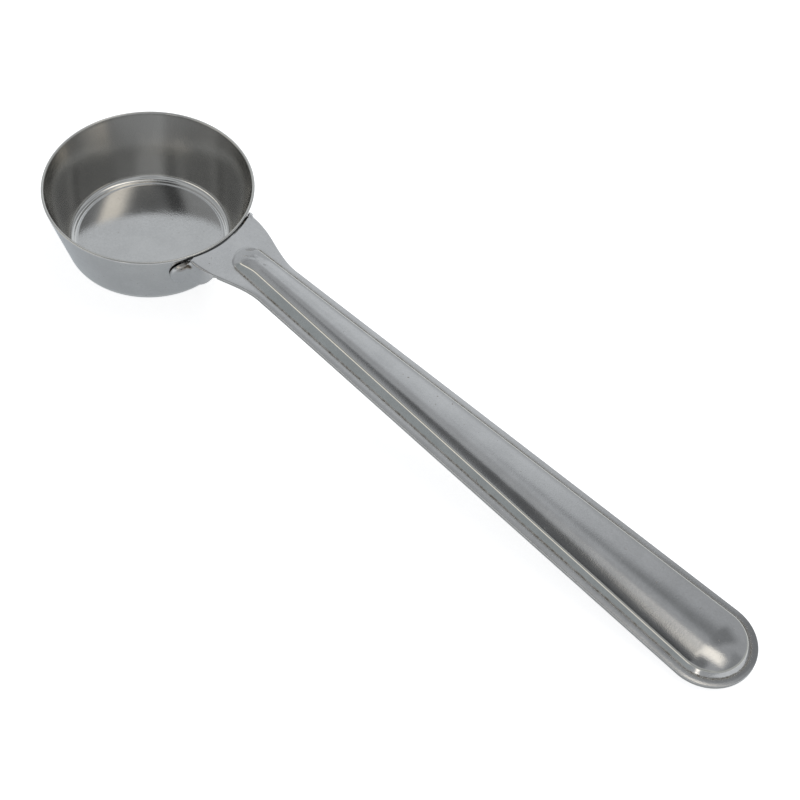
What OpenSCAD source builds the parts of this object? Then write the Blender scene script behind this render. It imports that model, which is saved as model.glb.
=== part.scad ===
// Powder scoop: a drawn round cup, spot welded under the rim to a pressed sheet handle.
// Millimetres. The origin is the middle of the flat disc that the cup stands on, +Z goes up
// along the cup's axis and +X goes along the handle. The scoop stands on the disc and on the
// handle's far end.

/* [Cup] */
// Outer radius of the cup at its rim
rim_r = 22; // [18:0.1:26]
// Height of the cup
cup_h = 16; // [13:0.1:20]
// Outer radius at which the line of the wall would meet the base
base_r = 17.2; // [15:0.1:21]
// Thickness of the cup's sheet
cup_wall = 0.5; // [0.3:0.05:0.8]
// Outer radius of the bend from the wall into the base
foot_bend_r = 1.3; // [0.9:0.1:2.5]
// Width of the flat ring at the foot, between the bend and the step down to the disc
foot_ring_w = 0.9; // [0.3:0.1:4]
// Step down from the ring at the foot to the flat disc that the cup stands on
disc_drop = 0.25; // [0.1:0.05:0.5]
// Width of the sloping step round the disc
step_w = 0.4; // [0.2:0.1:0.8]
// Thickness of the rounded lip at the rim
lip_w = 0.62; // [0.4:0.02:0.9]

/* [Handle] */
// Thickness of the handle's sheet
sheet = 0.9; // [0.6:0.05:1.2]
// Distance from the cup's axis to the handle's far end, along the handle
reach = 158.8; // [130:0.1:190]
// Radius of the round far end
end_r = 9.4; // [8:0.1:12]
// Narrow flat land between the rib and the edge
land_w = 1.55; // [1:0.05:2.2]
// Drop of the land towards its outer edge
land_roll = 0.12; // [0:0.02:0.25]

/* [Rib] */
// Distance from the cup's axis to the rib's nose
rib_start = 26; // [24.5:0.1:32]
// Radius of the rib's nose in plan
nose_r = 3.5; // [2.8:0.1:4.5]
// Distance from the middle of the nose back to where the rib reaches its full height
crown_back = 2.3; // [1:0.1:3.5]
// Height of the rib's crown above the land
rib_h = 2.6; // [1.5:0.1:3.5]
// Angle of the rib's flanks from the land
flank_angle = 57; // [45:1:65]

/* [Fork] */
// Gap between the cup's rim and the fork
fork_gap = 0.5; // [0.3:0.05:1]
// Extra half width of the fork over the handle's taper, at its tips
flare = 4.15; // [3:0.05:5.5]
// Distance from the cup's axis to where the flare runs out
neck_u = 37.4; // [35:0.2:48]
// Outer radius of the bend from the fork down into an ear
ear_bend_r = 1.05; // [0.8:0.05:1.4]
// Length of the fold along each side of the fork
fold_len = 5.4; // [4:0.1:7]
// Depth of an ear below the fork
ear_depth = 9.2; // [6:0.1:10.5]
// How far an ear reaches round the cup past the fork's tip
ear_forward = 3.9; // [2.5:0.1:5]
// Length of the curve that brings an ear from the fork's side onto the cup
ear_curve_len = 3.6; // [2:0.1:5]

/* [Welds] */
// Thickness of a weld nugget, which is the gap between an ear and the cup
weld_t = 0.1; // [0.05:0.01:0.2]
// Diameter of a weld nugget
weld_d = 1.8; // [1.2:0.1:2.2]
// Depth of a weld's centre below the rim
weld_depth = 3.6; // [3:0.1:5]
// Angle of a weld round the cup from the handle's middle
weld_angle = 26.5; // [26:0.5:28]

/* [Hidden] */
$fn = 160;
bend_steps = 8;

// Slope of the cup's wall: how much the radius grows for each millimetre of height
wall_slope = (rim_r - base_r) / cup_h;
wall_angle = atan(wall_slope);
lip_r = lip_w / 2;
lip_centre = [rim_r - lip_r, cup_h - lip_r];
wall_side = [cos(wall_angle), -sin(wall_angle)];
wall_x = lip_centre[0] - wall_slope * lip_centre[1] + lip_r / cos(wall_angle);
function wall_r(z) = wall_x + wall_slope * z;

// The handle's pressing slopes down until the far end of its underside is level with the base
drop_t = sheet + land_roll;
slope = asin(cup_h / norm([reach - rim_r, drop_t])) - atan2(drop_t, reach - rim_r);

// Points of an arc, from angle a0 to a1
function arc(centre, r, a0, a1, steps) =
    [for (i = [0:steps]) let (a = a0 + (a1 - a0) * i / steps) centre + r * [cos(a), sin(a)]];

// The cup's section. The bend at the foot is one pair of arcs with one centre.
foot_x = wall_r(disc_drop) - foot_bend_r * tan((90 - wall_angle) / 2);
foot_centre = [foot_x, disc_drop + foot_bend_r];
disc_r = foot_x - foot_ring_w - step_w;
inner_top = lip_centre + (lip_r - cup_wall) * wall_side - lip_w * [wall_slope, 1];
cup_section = concat(
    [[0, 0], [disc_r, 0], [disc_r + step_w, disc_drop]],
    arc(foot_centre, foot_bend_r, -90, -wall_angle, bend_steps),
    arc(lip_centre, lip_r, -wall_angle, 180 - wall_angle, 2 * bend_steps),
    [inner_top],
    arc(foot_centre, foot_bend_r - cup_wall, -wall_angle, -90, bend_steps),
    [[disc_r + step_w, disc_drop + cup_wall], [disc_r, cup_wall], [0, cup_wall]]
);

// Plan of the handle, in its own plane. u is the distance from the cup's axis.
crease_end_r = end_r - land_w;
nose_u = rib_start + nose_r;
crown_u = nose_u + crown_back;
end_u = reach - end_r;
taper = asin((crease_end_r - nose_r) / (end_u - nose_u));
function crease_r(u) = nose_r + (crease_end_r - nose_r) * (u - nose_u) / (end_u - nose_u);
function flare_share(u) =
    let (t = max(0, min(1, (neck_u - u) / (neck_u - tip_u)))) 3 * t * t - 2 * t * t * t;
function side_y(u) = (crease_r(u) + land_w) / cos(taper) + flare * flare_share(u);

// The fork's tip is where the outside of an ear that lies on the rim crosses the side
function ear_r(z) = wall_r(z) + (weld_t + sheet) / cos(wall_angle);
tip_r = ear_r(cup_h);
tip_y = (crease_r(rim_r) + land_w) / cos(taper) + flare;
tip_u = sqrt(tip_r * tip_r - tip_y * tip_y);
tip_angle = atan2(side_y(tip_u), tip_u);
front_r = rim_r + fork_gap;
front_angle = tip_angle - 2 * atan2(fork_gap, rim_r);

// Points round the right half of the handle, in plan: [outline, crease, spine, outward, ear share].
// The ear share runs from 0 at the fork's tip to 1 at the fold's end, and is below zero elsewhere.
front_steps = 8;
ear_steps = 16;
neck_steps = 7;
side_steps = 26;
end_steps = 14;
nose_turn_share = 0.6;
fold_end_u = tip_u + fold_len;
function side_out(u) =
    let (s = side_y(u + sheet) - side_y(u - sheet)) [-s, 2 * sheet] / norm([s, 2 * sheet]);
function nose_point(a) = [nose_u + nose_r * cos(a), nose_r * sin(a)];
nose_side_angle = 90 + taper;
nose_front_turn = (180 - nose_side_angle) * nose_turn_share;
nose_ear_angle = 180 - nose_front_turn;
function front_rows() = [for (i = [0:front_steps])
    let (t = i / front_steps, a = front_angle * t)
    [front_r * [cos(a), sin(a)], nose_point(180 - nose_front_turn * t), [crown_u, 0],
     -[cos(a), sin(a)], -1]];
function ear_rows() = [for (i = [0:ear_steps])
    let (t = i / ear_steps, u = tip_u + fold_len * t,
         n = nose_ear_angle - (nose_ear_angle - nose_side_angle) * (i + 1) / (ear_steps + 1))
    [[u, side_y(u)], nose_point(n), [crown_u, 0], side_out(u), t]];
function neck_rows() = [for (i = [1:neck_steps])
    let (t = i / neck_steps, u = fold_end_u + (neck_u - fold_end_u) * t,
         v = crown_u + (neck_u - crown_u) * t, r = crease_r(v))
    [[u, side_y(u)], [v - r * sin(taper), r * cos(taper)], [v, 0], side_out(u), -1]];
function side_rows() = [for (i = [1:side_steps])
    let (t = i / side_steps, v = neck_u + (end_u - neck_u) * t, r = crease_r(v),
         n = [-sin(taper), cos(taper)], u = v - (r + land_w) * sin(taper) * t)
    [[u, side_y(u)], [v, 0] + r * n, [v, 0], n, -1]];
function end_rows() = [for (i = [1:end_steps])
    let (a = (90 + taper) * (1 - i / end_steps), n = [cos(a), sin(a)])
    [[end_u, 0] + end_r * n, [end_u, 0] + crease_end_r * n, [end_u, 0], n, -1]];
rows = concat(front_rows(), ear_rows(), neck_rows(), side_rows(), end_rows());
half_n = len(rows);

// Loop of rows right round the handle. The left half mirrors the right one.
loop_n = 2 * half_n - 2;
function row_of(m) = rows[m < half_n ? m : loop_n - m];
function side_of(m) = m < half_n ? 1 : -1;

// Height of the rib. nose_part is 1 at the very front of the nose and 0 along the sides.
shoulder_nose_share = 0.78;
shoulder_end_share = 0.46;
front_run_share = 0.45;
front_run = nose_r * front_run_share;
front_shoulder = 2 * rib_h * front_run / (nose_r + crown_back + front_run);
function nose_part(row) =
    let (d = (row[1][0] - nose_u) / nose_r) row[2][0] <= crown_u && d < 0 ? d * d : 0;
function along(row) = (row[2][0] - crown_u) / (end_u - crown_u);
function side_shoulder(row) =
    rib_h * (shoulder_nose_share + (shoulder_end_share - shoulder_nose_share) * along(row));
function shoulder_z(row) =
    side_shoulder(row) * (1 - nose_part(row)) + front_shoulder * nose_part(row);
function shoulder_run(row) =
    side_shoulder(row) / tan(flank_angle) * (1 - nose_part(row)) + front_run * nose_part(row);

// Section of the rib at a row: [distance in from the crease, height]
dome_shares = [0.14, 0.36, 0.6, 0.82];
toe_share = 0.1;
flank_shares = [toe_share, 0.77];
flank_top_share = 0.95;
function rib_section(row) =
    let (r = norm(row[1] - row[2]), h = shoulder_z(row), w = shoulder_run(row))
    concat(
        [[-toe_share * w, 0]],
        [for (f = flank_shares) [f * w, f * h]],
        [[w, flank_top_share * h]],
        [for (g = dome_shares) [w + g * (r - w), h + (rib_h - h) * (1 - (1 - g) * (1 - g))]],
        [[r, rib_h]]);

// The same section moved in by the sheet's thickness, square to itself
function unit(v) = v / norm(v);
function inner_section(p) = [for (k = [0:len(p) - 1])
    k == 0 || k == len(p) - 1 ? p[k] - [0, sheet]
    : let (t = unit(unit(p[k + 1] - p[k]) + unit(p[k] - p[k - 1]))) p[k] + sheet * [t[1], -t[0]]];

// From the handle's own plane to the part's frame
function placed(u, y, z) = [
    rim_r + (u - rim_r) * cos(slope) + z * sin(slope),
    y,
    cup_h - (u - rim_r) * sin(slope) + z * cos(slope)];

// Bend at the edge of a row: a fine rounding, or the larger bend of the fold
edge_round_share = 0.17;
tip_ease_share = 0.6;
edge_r = sheet * edge_round_share;
ear_start = sheet + 2 * edge_r;
function bend_of(row) =
    row[4] < 0 ? edge_r
    : edge_r + min((ear_bend_r - edge_r) * (1 - row[4] * row[4]), fold_len * row[4] * tip_ease_share);
function inner_bend_of(row) = max(bend_of(row), sheet + edge_r);
function roll_of(row) =
    land_roll * max(0, min(1, (row[0][0] - fold_end_u) / (neck_u - fold_end_u)));
function flat_ring(m, in_share, z) =
    let (row = row_of(m), inset = z < 0 && row[4] >= 0 ? inner_bend_of(row) : bend_of(row),
         edge = row[0] - inset * row[3],
         toe = row[1] + toe_share * shoulder_run(row) * unit(row[1] - row[2]),
         p = edge + (toe - edge) * in_share)
    placed(p[0], side_of(m) * p[1], z - roll_of(row) * (1 - in_share) * (1 - in_share));
function rib_ring(m, p) =
    let (row = row_of(m), q = row[1] + p[0] * unit(row[2] - row[1]))
    placed(q[0], side_of(m) * q[1], p[1]);

// Outer face of an ear. s runs back along the fold from the fork's tip, and is below zero where
// the ear reaches forward round the cup. d is the depth below the fork.
function cup_face(s, d) =
    let (a = tip_angle - s / tip_r * 180 / PI, r = ear_r(cup_h - d))
    [r * cos(a), r * sin(a), cup_h - d];
function fold_line(s) = placed(tip_u + s, side_y(tip_u + s), 0);
function side_face(s, d) =
    let (b = s / fold_len)
    fold_line(s) + (1 - b) * (cup_face(0, d) - cup_face(0, 0)) + b * [0, 0, -d];
function plain_face(s, d) = s <= 0 ? cup_face(s, d) : side_face(s, d);
curve_start_share = 0.2;
curve_start = -ear_curve_len * curve_start_share;
curve_end = ear_curve_len + curve_start;
function curved_face(s, d) =
    let (t = (s - curve_start) / ear_curve_len)
    t <= 0 || t >= 1 ? plain_face(s, d)
    : (1 - t) * (1 - t) * cup_face(curve_start, d) + 2 * t * (1 - t) * cup_face(0, d)
      + t * t * side_face(curve_end, d);
function ear_face(s, d) =
    let (w = max(0, min(1, (d - ear_bend_r) / ear_bend_r)))
    w * curved_face(s, d) + (1 - w) * plain_face(s, d);
function ear_out(s, d) =
    unit(cross(ear_face(s + edge_r, d) - ear_face(s - edge_r, d),
               ear_face(s, d + edge_r) - ear_face(s, d - edge_r)));

// Outline of an ear, as a smooth curve in s and d from the fork's tip to the fold's end
front_pull_share = 2.2;
front_depth_share = 0.22;
back_pull_share = 0.3;
back_depth_share = 2.07;
ear_outline = [
    [0, ear_start],
    [-ear_forward * front_pull_share, ear_depth * front_depth_share],
    [-fold_len * back_pull_share, ear_depth * back_depth_share],
    [fold_len, ear_start]];
function ear_end(t) =
    pow(1 - t, 3) * ear_outline[0] + 3 * pow(1 - t, 2) * t * ear_outline[1]
    + 3 * (1 - t) * t * t * ear_outline[2] + pow(t, 3) * ear_outline[3];
function ear_point(row, share, top, inward) =
    let (e = ear_end(row[4]), base = fold_len * row[4],
         s = base + (e[0] - base) * share, d = top + (e[1] - top) * share)
    ear_face(s, d) - inward * ear_out(s, d);

// Rings round the edge: down over the bend, down the outer face, up the inner face, over the bend
face_shares = [0.25, 0.5, 0.75, 1];
edge_steps = 3;
face_n = len(face_shares);
edge_n = 2 * edge_steps + 2 * face_n;
function outer_bend(row, i) =
    let (a = 90 * (i + 1) / edge_steps, b = bend_of(row), p = row[0] - b * (1 - sin(a)) * row[3])
    [p, -b * (1 - cos(a))];
function inner_bend(row, i) =
    let (a = 90 * (1 - i / edge_steps), b = inner_bend_of(row),
         p = row[0] - (b - (b - sheet) * sin(a)) * row[3])
    row[4] < 0 ? [row[0] - edge_r * (1 - sin(a)) * row[3], -sheet + edge_r * (1 - cos(a))]
    : [p, -b + (b - sheet) * cos(a)];
function cut_edge(row, i) =
    [row[0], -edge_r - (sheet - 2 * edge_r) * (i + 1) / (2 * face_n + 1)];
function edge_point(row, k) =
    k >= edge_steps && k < edge_n - edge_steps && row[4] >= 0
    ? let (i = k - edge_steps)
      i < face_n ? ear_point(row, face_shares[i], bend_of(row), 0)
      : ear_point(row, face_shares[2 * face_n - 1 - i], inner_bend_of(row), sheet)
    : let (p = k < edge_steps ? outer_bend(row, k)
               : k < edge_n - edge_steps ? cut_edge(row, k - edge_steps)
               : inner_bend(row, k - edge_n + edge_steps))
      placed(p[0][0], p[0][1], p[1] - roll_of(row));
function edge_ring(m, k) =
    let (p = edge_point(row_of(m), k)) [p[0], side_of(m) * p[1], p[2]];

flat_shares = [0, 0.5];
section_n = 4 + len(dome_shares);
top_rings = concat(
    [for (f = flat_shares) [for (m = [0:loop_n - 1]) flat_ring(m, f, 0)]],
    [for (k = [0:section_n - 1]) [for (m = [0:loop_n - 1]) rib_ring(m, rib_section(row_of(m))[k])]]);
under_rings = concat(
    [for (f = flat_shares) [for (m = [0:loop_n - 1]) flat_ring(m, f, -sheet)]],
    [for (k = [0:section_n - 1]) [for (m = [0:loop_n - 1])
        rib_ring(m, inner_section(rib_section(row_of(m)))[k])]]);
edge_rings = [for (k = [0:edge_n - 1]) [for (m = [0:loop_n - 1]) edge_ring(m, k)]];

// The spine has one point for each row along the sides and one at each end
spine_first = front_steps + 1 + ear_steps;
spine_n = neck_steps + side_steps + 1;
function spine_index(m) =
    let (i = m < half_n ? m : loop_n - m) max(0, min(spine_n - 1, i - spine_first));
function spine_u(j) = j == 0 ? crown_u : row_of(spine_first + j)[2][0];

ring_list = concat([for (k = [len(top_rings) - 1:-1:0]) top_rings[k]], edge_rings, under_rings);
ring_n = len(ring_list);
handle_points = concat(
    [for (ring = ring_list) each ring],
    [for (j = [0:spine_n - 1]) placed(spine_u(j), 0, rib_h)],
    [for (j = [0:spine_n - 1]) placed(spine_u(j), 0, rib_h - sheet)]);
function next(m) = (m + 1) % loop_n;
function crown_faces(first, ring, up) = [for (m = [0:loop_n - 1])
    let (a = ring * loop_n + m, b = ring * loop_n + next(m),
         c = first + spine_index(m), d = first + spine_index(next(m)))
    each c == d ? [up ? [a, b, c] : [b, a, c]]
                : (up ? [[a, b, c], [b, d, c]] : [[b, a, c], [d, b, c]])];
handle_faces = concat(
    [for (k = [0:ring_n - 2]) for (m = [0:loop_n - 1])
        let (a = k * loop_n + m, b = k * loop_n + next(m), c = a + loop_n, d = b + loop_n)
        each [[a, c, b], [b, c, d]]],
    crown_faces(ring_n * loop_n, 0, true),
    crown_faces(ring_n * loop_n + spine_n, ring_n - 1, false));

module cup() {
    color("#b4b8bb")
    rotate_extrude() polygon(cup_section);
}

module handle() {
    color("#a8acb0")
    polyhedron(handle_points, handle_faces);
}

// Nugget: the disc of fused metal between an ear and the cup's wall
module weld(side) {
    weld_z = cup_h - weld_depth;
    gap = [weld_t / cos(wall_angle), 0];
    low = [wall_r(0), 0];
    high = [wall_r(cup_h), cup_h];
    color("#7d6a55")
    rotate([0, 0, side * weld_angle])
    intersection() {
        rotate_extrude() polygon([low, low + gap, high + gap, high]);
        translate([wall_r(weld_z), 0, weld_z])
        rotate([0, 90 + wall_angle, 0])
        cylinder(h = sheet, d = weld_d, center = true, $fn = 48);
    }
}

module weld_left() {
    weld(1);
}

module weld_right() {
    weld(-1);
}

cup();
handle();
weld_left();
weld_right();
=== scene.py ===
"""Powder scoop in satin steel: a drawn round cup and a pressed handle, joined by two spot welds.

Every shape is in metres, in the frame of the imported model: the origin is the middle of the disc
that the cup stands on, +Z goes up along the cup's axis and +X goes along the handle.
"""
import logging
import math
from dataclasses import dataclass, field
from enum import Enum

import bpy
import numpy as np
from mathutils import Matrix, Vector


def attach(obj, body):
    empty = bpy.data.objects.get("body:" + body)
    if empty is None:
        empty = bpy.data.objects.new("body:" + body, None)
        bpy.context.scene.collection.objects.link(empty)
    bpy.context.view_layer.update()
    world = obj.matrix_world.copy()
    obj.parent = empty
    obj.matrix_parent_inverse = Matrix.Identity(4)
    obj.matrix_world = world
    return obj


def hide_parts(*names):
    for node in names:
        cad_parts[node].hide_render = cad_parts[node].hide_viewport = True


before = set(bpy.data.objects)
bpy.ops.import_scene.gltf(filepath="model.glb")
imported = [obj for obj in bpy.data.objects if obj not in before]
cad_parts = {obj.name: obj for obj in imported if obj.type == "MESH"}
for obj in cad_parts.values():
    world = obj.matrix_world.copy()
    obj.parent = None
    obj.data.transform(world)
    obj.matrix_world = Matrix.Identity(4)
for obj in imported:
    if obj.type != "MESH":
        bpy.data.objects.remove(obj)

log = logging.getLogger("powder_scoop")

Triple = tuple[float, float, float]
Band = tuple[float, float]
Socket = bpy.types.NodeSocket
Input = Socket | float | Triple

MM = 0.001
# The dressed pieces stay this far inside the solids.
SKIN = 0.01 * MM
# Points closer than this are one point.
MERGE_GAP = 0.0001 * MM
WEAR_AND_LIGHT_MAP = "wear_and_light"
SECTION_MAP = "section"

NODE_STEP = 200
NOISE_MIDDLE = 0.5
# Places of the colour sockets on a node that blends two colours.
MIX_FIRST, MIX_SECOND, MIX_RESULT = 6, 7, 2

# The usual curve between display values and light.
DISPLAY_WHITE = 255
DISPLAY_KNEE = 0.04045
DISPLAY_FOOT = 12.92
DISPLAY_LIFT = 0.055
DISPLAY_POWER = 2.4

BLACK: Triple = (0.0, 0.0, 0.0)
WHITE: Triple = (1.0, 1.0, 1.0)
# Tints of the light from a panel.
COOL: Triple = (0.95, 1.0, 1.06)
WARM: Triple = (1.03, 1.0, 0.94)


class WearAndLight(Enum):
    """Channels of the handle's attribute of marks and painted light: painted shoulder highlight,
    sheared edge, grime with painted shade, and the marks of pressing.
    """

    SHOULDER = 0
    CUT = 1
    GRIME_AND_SHADE = 2
    PRESSED = 3


def linear(value: float) -> float:
    """Gives the linear value of a display value from 0 to 255.

    Args:
        value: The display value.

    Returns:
        The linear value, from 0 to 1.
    """
    share = value / DISPLAY_WHITE
    if share <= DISPLAY_KNEE:
        return share / DISPLAY_FOOT
    return ((share + DISPLAY_LIFT) / (1 + DISPLAY_LIFT)) ** DISPLAY_POWER


def tone(red: float, green: float, blue: float) -> Triple:
    """Gives the linear colour of three display values from 0 to 255."""
    return linear(red), linear(green), linear(blue)


def smooth(value: np.ndarray) -> np.ndarray:
    """Gives the smooth step of a share, held between 0 and 1."""
    share = np.clip(value, 0, 1)
    return share * share * (3 - 2 * share)


def unit(vector: np.ndarray) -> np.ndarray:
    """Gives vectors of length 1 along the last axis."""
    return vector / np.linalg.norm(vector, axis=-1, keepdims=True)


def arc(centre: np.ndarray, radius: float, start: float, end: float, steps: int) -> np.ndarray:
    """Gives points on an arc.

    Args:
        centre: Middle of the arc, as radius and height.
        radius: Radius of the arc.
        start: First angle in degrees.
        end: Last angle in degrees.
        steps: Number of steps from the first point to the last.

    Returns:
        The points, one row each.
    """
    angles = np.radians(np.linspace(start, end, steps + 1))
    return centre + radius * np.stack([np.cos(angles), np.sin(angles)], axis=1)


def between(first: np.ndarray, last: np.ndarray, steps: int) -> list[np.ndarray]:
    """Gives what lies between two columns, in even steps."""
    return [first + (last - first) * t for t in np.linspace(0, 1, steps + 1)[1:-1]]


def all_round(half: np.ndarray) -> np.ndarray:
    """Gives the values right round the handle from those of its right half."""
    return np.concatenate([half, half[-2:0:-1], half[:1]])


def deselect_all() -> None:
    """Deselects every object, so that an operator acts on the new piece alone."""
    bpy.ops.object.select_all(action="DESELECT")


def finish_normals(piece: bpy.types.Object) -> None:
    """Turns the faces outwards and weighs the corner normals by the faces' areas.

    Args:
        piece: The active object, in object mode.
    """
    bpy.ops.object.mode_set(mode="EDIT")
    bpy.ops.mesh.select_all(action="SELECT")
    bpy.ops.mesh.remove_doubles(threshold=MERGE_GAP)
    bpy.ops.mesh.dissolve_degenerate(threshold=MERGE_GAP)
    bpy.ops.mesh.normals_make_consistent(inside=False)
    bpy.ops.object.mode_set(mode="OBJECT")
    bpy.ops.object.shade_smooth()
    bpy.ops.object.modifier_add(type="WEIGHTED_NORMAL")
    piece.modifiers[-1].keep_sharp = True
    bpy.ops.object.modifier_apply(modifier=piece.modifiers[-1].name)


class Ease(Enum):
    """How a value moves from one end of a range to the other."""

    SMOOTH = "SMOOTHSTEP"
    EVEN = "LINEAR"


class Board:
    """Lays out the nodes of one material or world."""

    def __init__(self, tree: bpy.types.NodeTree) -> None:
        """Starts an empty board.

        Args:
            tree: Node tree of the material or world.
        """
        self.tree = tree
        self.tree.nodes.clear()
        self.column = 0

    def add(self, kind: str, **settings: object) -> bpy.types.Node:
        """Adds a node and sets its properties.

        Args:
            kind: Type of the node.
            settings: Properties of the node, by name.

        Returns:
            The node.
        """
        node = self.tree.nodes.new(kind)
        node.location = (self.column, 0)
        self.column += NODE_STEP
        for name, value in settings.items():
            setattr(node, name, value)
        return node

    def join(self, source: Socket, target: Socket) -> None:
        """Links an output to an input."""
        self.tree.links.new(source, target)

    def feed(self, socket: Socket, value: Input) -> None:
        """Puts a link or a plain value on an input.

        Args:
            socket: The input.
            value: An output to link, or a number or colour to set.
        """
        if isinstance(value, Socket):
            self.join(value, socket)
        else:
            socket.default_value = value

    def make(self, kind: str, inputs: dict[str, Input], **settings: object) -> Socket:
        """Adds a node and fills its inputs.

        Args:
            kind: Type of the node.
            inputs: What goes on its inputs, by name.
            settings: Properties of the node, by name.

        Returns:
            Its first output.
        """
        node = self.add(kind, **settings)
        for name, value in inputs.items():
            self.feed(node.inputs[name], value)
        return node.outputs[0]

    def work(self, kind: str, operation: str, values: tuple[Input, ...]) -> bpy.types.Node:
        """Adds a node that works on values.

        Args:
            kind: Type of the node.
            operation: What it does with the values.
            values: What goes on its inputs, in order.

        Returns:
            The node.
        """
        node = self.add(kind, operation=operation)
        for socket, value in zip(node.inputs, values):
            self.feed(socket, value)
        return node

    def math(self, operation: str, *values: Input) -> Socket:
        """Works on numbers and gives the result."""
        return self.work("ShaderNodeMath", operation, values).outputs[0]

    def vector(self, operation: str, *values: Input) -> Socket:
        """Works on vectors and gives the number that comes out."""
        return self.work("ShaderNodeVectorMath", operation, values).outputs["Value"]

    def noise(self, place: Socket, scale: float, detail: float = 2.0,
              roughness: float = 0.5) -> Socket:
        """Adds a cloudy pattern.

        Args:
            place: Place on the piece.
            scale: Fineness of the clouds.
            detail: Number of finer layers on them.
            roughness: Strength of the finer layers.

        Returns:
            The pattern's value.
        """
        return self.make("ShaderNodeTexNoise", {"Vector": place, "Scale": scale,
                                                "Detail": detail, "Roughness": roughness})

    def stretch(self, place: Socket, scale: Triple) -> Socket:
        """Scales a place along each axis."""
        return self.make("ShaderNodeMapping", {"Vector": place, "Scale": scale})

    def parts(self, vector: Socket) -> tuple[Socket, ...]:
        """Splits a vector.

        Args:
            vector: The vector.

        Returns:
            Its three parts.
        """
        node = self.add("ShaderNodeSeparateXYZ")
        self.join(vector, node.inputs[0])
        return tuple(node.outputs)

    def product(self, first: Input, *others: Input) -> Input:
        """Multiplies any number of values.

        Args:
            first: First value.
            others: The values to multiply it by.

        Returns:
            The product.
        """
        for other in others:
            first = self.math("MULTIPLY", first, other)
        return first

    def spread(self, value: Socket, low: float, high: float, first: Input, last: Input,
               ease: Ease = Ease.SMOOTH) -> Socket:
        """Maps a value from one range to another, held at the range's ends.

        Args:
            value: The value.
            low: Value at which the result is the first one.
            high: Value at which the result is the last one.
            first: First result.
            last: Last result.
            ease: How the result moves from the first to the last.

        Returns:
            The result.
        """
        ends = {"Value": value, "From Min": low, "From Max": high,
                "To Min": first, "To Max": last}
        return self.make("ShaderNodeMapRange", ends, interpolation_type=ease.value)

    def blend(self, share: Input, first: Input, second: Input) -> Socket:
        """Blends two colours.

        Args:
            share: Share of the second colour.
            first: First colour, as an output or as three values.
            second: Second colour, likewise.

        Returns:
            The blended colour.
        """
        node = self.add("ShaderNodeMix", data_type="RGBA")
        self.feed(node.inputs[0], share)
        for place, value in ((MIX_FIRST, first), (MIX_SECOND, second)):
            self.feed(node.inputs[place], (*value, 1) if isinstance(value, tuple) else value)
        return node.outputs[MIX_RESULT]


@dataclass(frozen=True)
class Coat:
    """A finish that is laid over another one."""

    colour: Triple
    metal: float
    rough: float
    strength: float = 1.0


# Near-black: grime, and painted shade in the gaps between the fork, the ears and the cup.
GRIME_AND_SHADE = Coat(tone(20, 17, 14), metal=0.0, rough=0.6)


@dataclass
class Surface:
    """A surface under construction, as node outputs or plain values."""

    board: Board
    colour: Input
    metal: Input
    rough: Input
    height: Input

    def lay(self, share: Socket, coat: Coat) -> None:
        """Lays another finish over this one.

        Args:
            share: Share of the new finish, from 0 to its strength.
            coat: The new finish.
        """
        self.colour = self.board.blend(share, self.colour, coat.colour)
        self.metal = self.board.spread(share, 0.0, 1.0, self.metal, coat.metal, Ease.EVEN)
        self.rough = self.board.spread(share, 0.0, 1.0, self.rough, coat.rough, Ease.EVEN)

    def finish(self) -> None:
        """Adds the shader, its bump with the height in metres, and the output."""
        board = self.board
        bump = board.make("ShaderNodeBump",
                          {"Strength": 1.0, "Distance": 1.0, "Height": self.height})
        shader = board.make("ShaderNodeBsdfPrincipled",
                            {"Base Color": self.colour, "Metallic": self.metal,
                             "Roughness": self.rough, "Normal": bump})
        output = board.add("ShaderNodeOutputMaterial")
        board.join(shader, output.inputs["Surface"])


@dataclass(frozen=True)
class SatinSteel:
    """Satin stainless steel: a cloudy tone, a fine pebbled grain and a few brown specks."""

    name: str
    colour: Triple
    roughness: float
    cloud_scale: float = 180
    cloud_part: float = 0.6
    mottle_scale: float = 1800
    mottle_part: float = 0.4
    cloud_band: Band = (0.3, 0.7)
    dull_share: float = 0.93
    bright_share: float = 1.05
    smooth_share: float = 0.9
    rough_share: float = 1.12
    grain_scale: float = 4200
    grain_depth: float = 0.006 * MM
    speck_scale: float = 1500
    speck_band: Band = (0.76, 0.81)
    speck: Coat = Coat(tone(96, 84, 70), metal=0.4, rough=0.5, strength=0.6)

    def steel(self, board: Board, place: Socket) -> Surface:
        """Gives the plain sheet: clouds, mottling, grain and specks.

        Args:
            board: Board of the material.
            place: Place on the piece.

        Returns:
            The surface.
        """
        cloud = board.noise(place, self.cloud_scale, detail=3)
        mottle = board.noise(place, self.mottle_scale, detail=2)
        dull = tuple(self.dull_share * c for c in self.colour)
        bright = tuple(self.bright_share * c for c in self.colour)
        both = board.math("ADD", board.product(cloud, self.cloud_part),
                          board.product(mottle, self.mottle_part))
        colour = board.blend(board.spread(both, *self.cloud_band, 0.0, 1.0), dull, bright)
        rough = board.spread(cloud, *self.cloud_band, self.smooth_share * self.roughness,
                             self.rough_share * self.roughness)
        grain = board.noise(place, self.grain_scale, detail=1.5)
        surface = Surface(board, colour, 1.0, rough, board.product(grain, self.grain_depth))
        speck = board.noise(place, self.speck_scale, detail=1)
        surface.lay(board.spread(speck, *self.speck_band, 0.0, self.speck.strength), self.speck)
        return surface

    def dress(self, surface: Surface, place: Socket) -> None:
        """Adds what is the piece's own: nothing on a plain sheet."""

    def material(self) -> bpy.types.Material:
        """Builds the material's nodes.

        Returns:
            The material.
        """
        material = bpy.data.materials.new(self.name)
        material.use_nodes = True
        board = Board(material.node_tree)
        place = board.add("ShaderNodeTexCoord").outputs["Object"]
        surface = self.steel(board, place)
        self.dress(surface, place)
        surface.finish()
        return material


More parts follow.
